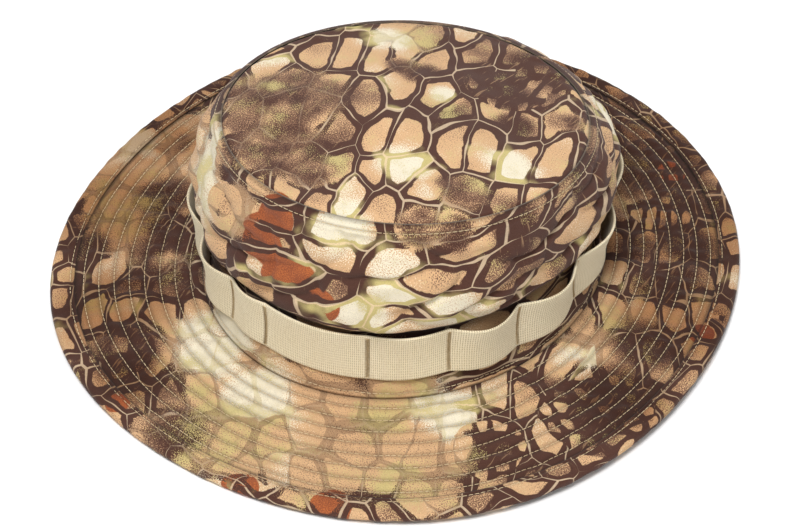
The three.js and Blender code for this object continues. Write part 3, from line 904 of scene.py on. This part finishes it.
def edge_binding():
    """The bias strip folded over the brim's edge: an outer U, and the same U one cloth thinner."""
    columns = 800
    a = BACK + np.arange(columns + 1) / columns * TURN
    lip = brim_point(a, FLAT_FRACTION, 0)
    edge = brim_edge(a, 0)
    level = edge_height(a)
    outwards = edge - lip
    width = np.linalg.norm(outwards[:, :2], axis=1)
    outwards /= np.linalg.norm(outwards, axis=1)[:, None]
    outline = []
    for half, inner in ((BOUND_HALF, False), (BOUND_HALF - CLOTH, True)):
        flat = [(share * (width - BOUND_HALF), half) for share in np.linspace(0, 1, 15)]
        arc = [
            (width - BOUND_HALF + half * math.sin(t), half * math.cos(t))
            for t in np.linspace(0, math.pi, 11)[1:-1]
        ]
        under = [(out, -rise) for out, rise in flat[::-1]]
        side = flat + arc + under
        outline.append(side[::-1] if inner else side)
    sections = []
    for inner, side in zip((False, True), outline):
        for out, rise in side:
            place = point(lip[:, 0], lip[:, 1], level) + outwards * np.asarray(out)[:, None] * (1, 1, 0)
            relief = 0.0
            if not inner:
                row = near(out, BINDING_ROW, 0.7)
                relief = 0.28 * bumps(place, 7, 41) * smooth(0.2, 2.5, out) - 0.3 * row
                relief = relief + 0.2 * near(out, 4.5, 2.5)
            place[:, 2] += rise + relief * np.sign(rise)
            place[:, 2] = np.maximum(place[:, 2], 0)
            sections.append(place)
    sections = np.stack(sections, axis=1)
    strip = 22  # the strip's width, in cloth coordinates
    out_and_back = [np.linspace(0, strip, len(outline[0])), np.linspace(strip, 0, len(outline[1])), [0]]
    across = np.concatenate(out_and_back)
    uv = np.stack(np.broadcast_arrays(((a - BACK) * EDGE_REACH)[:, None], across), axis=-1)
    outs = np.stack([np.broadcast_to(out, a.shape) for side in outline for out, _ in side], axis=1)
    # Painted shade at the binding's inner edge and in its stitch row's groove.
    crease = (0.8 * near(outs, 0, 0.5) + 0.6 * near(outs, BINDING_ROW, 0.6))[:-1].ravel()
    loop_section(
        "brim_binding", sections[:-1], binding_print, ["brim_edge_binding"], True, uv, crease
    )


RIB = 0.26  # how far the webbing's ribs stand proud


def webbing():
    """Ribbed webbing: a rib every four sections, each standing a little proud."""
    first, end = OVERLAP_TACK - OVERLAP, OVERLAP_TACK + 360 + END_PAST_TACK
    rib, reach = 1.0, 95  # a rib's width, and from the middle of the hat to the webbing
    count = int(math.radians(end - first) * reach / rib) * 4
    degrees = np.linspace(first, end, count + 1)
    proud = np.array([0, 0.2, RIB, 0.2])[np.arange(count + 1) % 4]
    # Painted shade, strongest in the valley between two ribs; it becomes the webbing's crease values.
    painted_valley_shade = np.array([1, 0.15, 0, 0.15])[np.arange(count + 1) % 4]
    heights = [0, 0.5, 1.3, 6.5, 12.7, 18.9]
    heights += [WEBBING_HEIGHT - 1.3, WEBBING_HEIGHT - 0.5, WEBBING_HEIGHT]
    ribbed = [0, 0.5, 1, 1, 1, 1, 1, 0.5, 0]
    outside = [
        webbing_at(degrees, np.full(count + 1, h), WEBBING - RIB + proud * share - 0.15 * (share == 0))
        for h, share in zip(heights, ribbed)
    ]
    inside = [webbing_at(degrees, np.full(count + 1, h), np.zeros(count + 1)) for h in heights[::-2]]
    sections = np.stack(outside + inside, axis=1)
    crease = np.repeat(painted_valley_shade, sections.shape[1])
    loop_section(
        "loop_webbing", sections[:, ::-1], webbing_cloth, ["branch_loop_webbing"], False,
        crease=crease,
    )


def bartacks():
    """Each bartack is a close zigzag of thread across the webbing."""
    turns = 60
    half_width = 0.62  # in degrees
    heights = np.linspace(1.2, WEBBING_HEIGHT - 1.2, turns)
    for number, (tack, _) in enumerate(LOOPS, 1):
        degrees = tack + half_width * (-1.0) ** np.arange(turns)
        if tack == OVERLAP_TACK:
            degrees = degrees + 360
        depth = np.full(turns, WEBBING + 0.12)
        path = webbing_at(degrees, heights, depth)[None]
        outwards = webbing_at(degrees, heights, depth + 1)[None] - path
        tangent = np.gradient(path, axis=1)
        tangent /= np.linalg.norm(tangent, axis=-1)[..., None]
        across = np.cross(tangent, outwards)
        across /= np.linalg.norm(across, axis=-1)[..., None]
        places, faces = tubes(path, across, np.cross(across, tangent), 0.24)
        name = f"bartack_{number:02d}"
        build(f"tack_{number:02d}", places, faces, brown_thread, [name])


def stitching():
    """Every row of stitches. The ones under the brim stand for no CAD node."""
    for row in range(1, BRIM_ROWS + 1):
        fraction = FLAT_FRACTION * row / ROW_SPACES
        stitch_row(
            f"brim_stitches_{row}",
            lambda a, rise, f=fraction: brim_top(a, np.full(np.shape(a), f), -rise),
            [f"brim_stitch_row_{row}"],
        )
        stitch_row(
            f"under_stitches_{row}",
            lambda a, rise, f=fraction: brim_under(a, np.full(np.shape(a), f), -rise),
            [],
        )
    inner = FLAT_FRACTION + BINDING_ROW / BRIM_DEPTH
    stitch_row(
        "binding_stitches",
        lambda a, rise: brim_point(a, np.full(np.shape(a), inner), BOUND_HALF - 0.25 + rise),
        ["binding_stitch_row"],
    )
    stitch_row(
        "crown_base_stitches",
        lambda a, rise: side_cloth(a, BASE_ROW / (top_seam_height(a) - WALL_FOOT), -rise),
        ["crown_base_stitch_row"],
    )
    stitch_row(
        "top_seam_stitches",
        lambda a, rise: side_cloth(a, 1 - TOP_ROW / (top_seam_height(a) - WALL_FOOT), -rise),
        ["top_seam_stitch_row"],
    )
    stitch_row(
        "sweatband_stitches",
        lambda a, rise: crown_wall(a, SWEATBAND[1] - 3 + 0 * a, SWEATBAND_FACE - SWEATBAND_THICK - rise),
        ["sweatband_stitch_row"],
    )


def inner_ring(name, outline, node):
    """A twill band inside the crown, from a function of angle that gives its outline."""
    columns = 360
    a = np.arange(columns) / columns * TURN
    loop_section(name, np.stack(outline(a), axis=1), twill, [node])


def sweatband():
    """The sweatband, softly uneven on the side towards the head."""

    def outline(a):
        heights = np.linspace(SWEATBAND[0], SWEATBAND[1], 15)
        soft = 0.25 * bumps(head_oval(a, 0, 20), 26, 51)

        def at(z, depth):
            offset = SWEATBAND_FACE - depth
            if z < WALL_FOOT:
                return head_oval(a, offset, z)
            return crown_wall(a, z + 0 * a, offset)

        outer = [at(z, 0) for z in heights]
        swells = [math.sin(math.pi * k / (len(heights) - 1)) for k in range(len(heights))]
        inner = [at(z, SWEATBAND_THICK + soft * swell) for z, swell in zip(heights, swells)]
        return outer + inner[::-1]

    inner_ring("sweatband_cloth", outline, "sweatband")


def seam_binding():
    """The tape folded over the raw edges of the top seam, inside the crown."""

    def outline(a):
        z = top_seam_height(a) - 1.15
        bend = 0.3 * bumps(top_oval(a, 0, z), 12, 52)
        corners = [(0, 0), (0, -5), (-0.5, -5.5), (-1.1, -5.5), (-1.6, -5), (-1.6, 0), (-0.8, 0.2)]
        return [top_oval(a, -4.15 + out + bend * (down < 0), z + down) for out, down in corners]

    inner_ring("seam_tape", outline, "top_seam_binding")


def back_tape():
    """The tape over the upright seam at the back, inside the crown."""
    angles = BACK + np.radians(np.linspace(-3, 3, 13))
    levels = np.linspace(0.62, 0.93, 25)
    outer = [wall_at(angles, np.full(13, level), -1.15) for level in levels]
    inner = [wall_at(angles, np.full(13, level), -1.75) for level in levels]
    sections = np.stack(outer + inner[::-1], axis=1)
    loop_section("back_tape", sections, twill, ["back_seam_tape"], closed=False)


def label():
    """A blank woven label with soft folded edges, sewn to the back of the sweatband."""
    low, high = (np.array(corner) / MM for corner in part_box("size_label"))
    width = np.linspace(low[0], high[0], 25)
    height = np.linspace(low[2], high[2], 17)
    x, z = np.meshgrid(width, height)
    curl = 0.16 * np.sin(x / 5) * np.sin(z / 4)
    rows, columns = x.shape
    front = point(x, low[1] + curl + 0.1, z)
    back = point(x, high[1] + curl - 0.1, z)
    border = [(0, j) for j in range(columns)] + [(i, columns - 1) for i in range(1, rows)]
    border += [(rows - 1, j) for j in range(columns - 2, -1, -1)] + [(i, 0) for i in range(rows - 2, 0, -1)]

    def index(i, j):
        return i * columns + j

    faces = []
    for i in range(rows - 1):
        for j in range(columns - 1):
            quad = [index(i, j), index(i, j + 1), index(i + 1, j + 1), index(i + 1, j)]
            faces.append(quad)
            faces.append([rows * columns + corner for corner in quad[::-1]])
    for (i, j), (k, m) in zip(border, border[1:] + border[:1]):
        here, after = index(i, j), index(k, m)
        faces.append([after, here, rows * columns + here, rows * columns + after])
    places = np.concatenate([front.reshape(-1, 3), back.reshape(-1, 3)])
    build("label", places, faces, label_cloth, ["size_label"])


crown_side()
crown_top()
brim_cloth("brim_top_cloth", brim_top, brim_print, "brim_upper", False)
brim_cloth("brim_under_cloth", brim_under, under_print, "brim_lower", True)
edge_binding()
webbing()
bartacks()
stitching()
sweatband()
seam_binding()
back_tape()
label()
brim_backing()

# ---- Floor, lights and camera ----


def floor():
    """A pale floor, a hair below the hat so that the two don't share a plane."""
    mesh = bpy.data.meshes.new("floor")
    half = 4.0
    low = -0.0003
    corners = [(-half, -half, low), (half, -half, low), (half, half, low), (-half, half, low)]
    mesh.from_pydata(corners, [], [(0, 1, 2, 3)])
    s = Shader("pale_floor", 0.9)
    uneven = s.noise(s.object_place(), 900, 1)
    mesh.materials.append(s.finish(s.mix(uneven, srgb(246, 246, 246), srgb(250, 250, 250))))
    piece = bpy.data.objects.new("floor", mesh)
    bpy.context.scene.collection.objects.link(piece)


def softbox(name, place, size, power):
    light = bpy.data.lights.new(name, "AREA")
    light.size = size
    light.energy = power
    lamp = bpy.data.objects.new(name, light)
    lamp.location = place
    lamp.rotation_euler = (-Vector(place)).to_track_quat("-Z", "Y").to_euler()
    bpy.context.scene.collection.objects.link(lamp)


def sky():
    world = bpy.data.worlds.new("studio")
    world.use_nodes = True
    background = world.node_tree.nodes["Background"]
    background.inputs["Color"].default_value = (1, 1, 1, 1)
    background.inputs["Strength"].default_value = 0.36
    bpy.context.scene.world = world
    bpy.context.scene.view_settings.view_transform = "Standard"


def camera():
    """Turned from the front towards the wearer's left, and looking down at the crown's foot."""
    turn, rise, distance = math.radians(33), math.radians(43.3), 1.6
    back = Vector((math.cos(rise) * math.sin(turn), -math.cos(rise) * math.cos(turn), math.sin(rise)))
    lens = bpy.data.cameras.new("camera")
    lens.sensor_width = 36
    lens.lens = 157  # millimetres
    lens.shift_x = -0.00225
    lens.shift_y = -0.015
    made = bpy.data.objects.new("camera", lens)
    made.location = Vector((0, 0, 0.0083)) + back * distance
    made.rotation_euler = (-back).to_track_quat("-Z", "Y").to_euler()
    bpy.context.scene.collection.objects.link(made)
    bpy.context.scene.camera = made


floor()
sky()
softbox("key", (0.25, -0.75, 1.6), 0.6, 27)
softbox("fill", (1.5, -0.2, 1.2), 1.4, 5)
softbox("back", (-0.6, 1.3, 1.3), 1.0, 10)
camera()
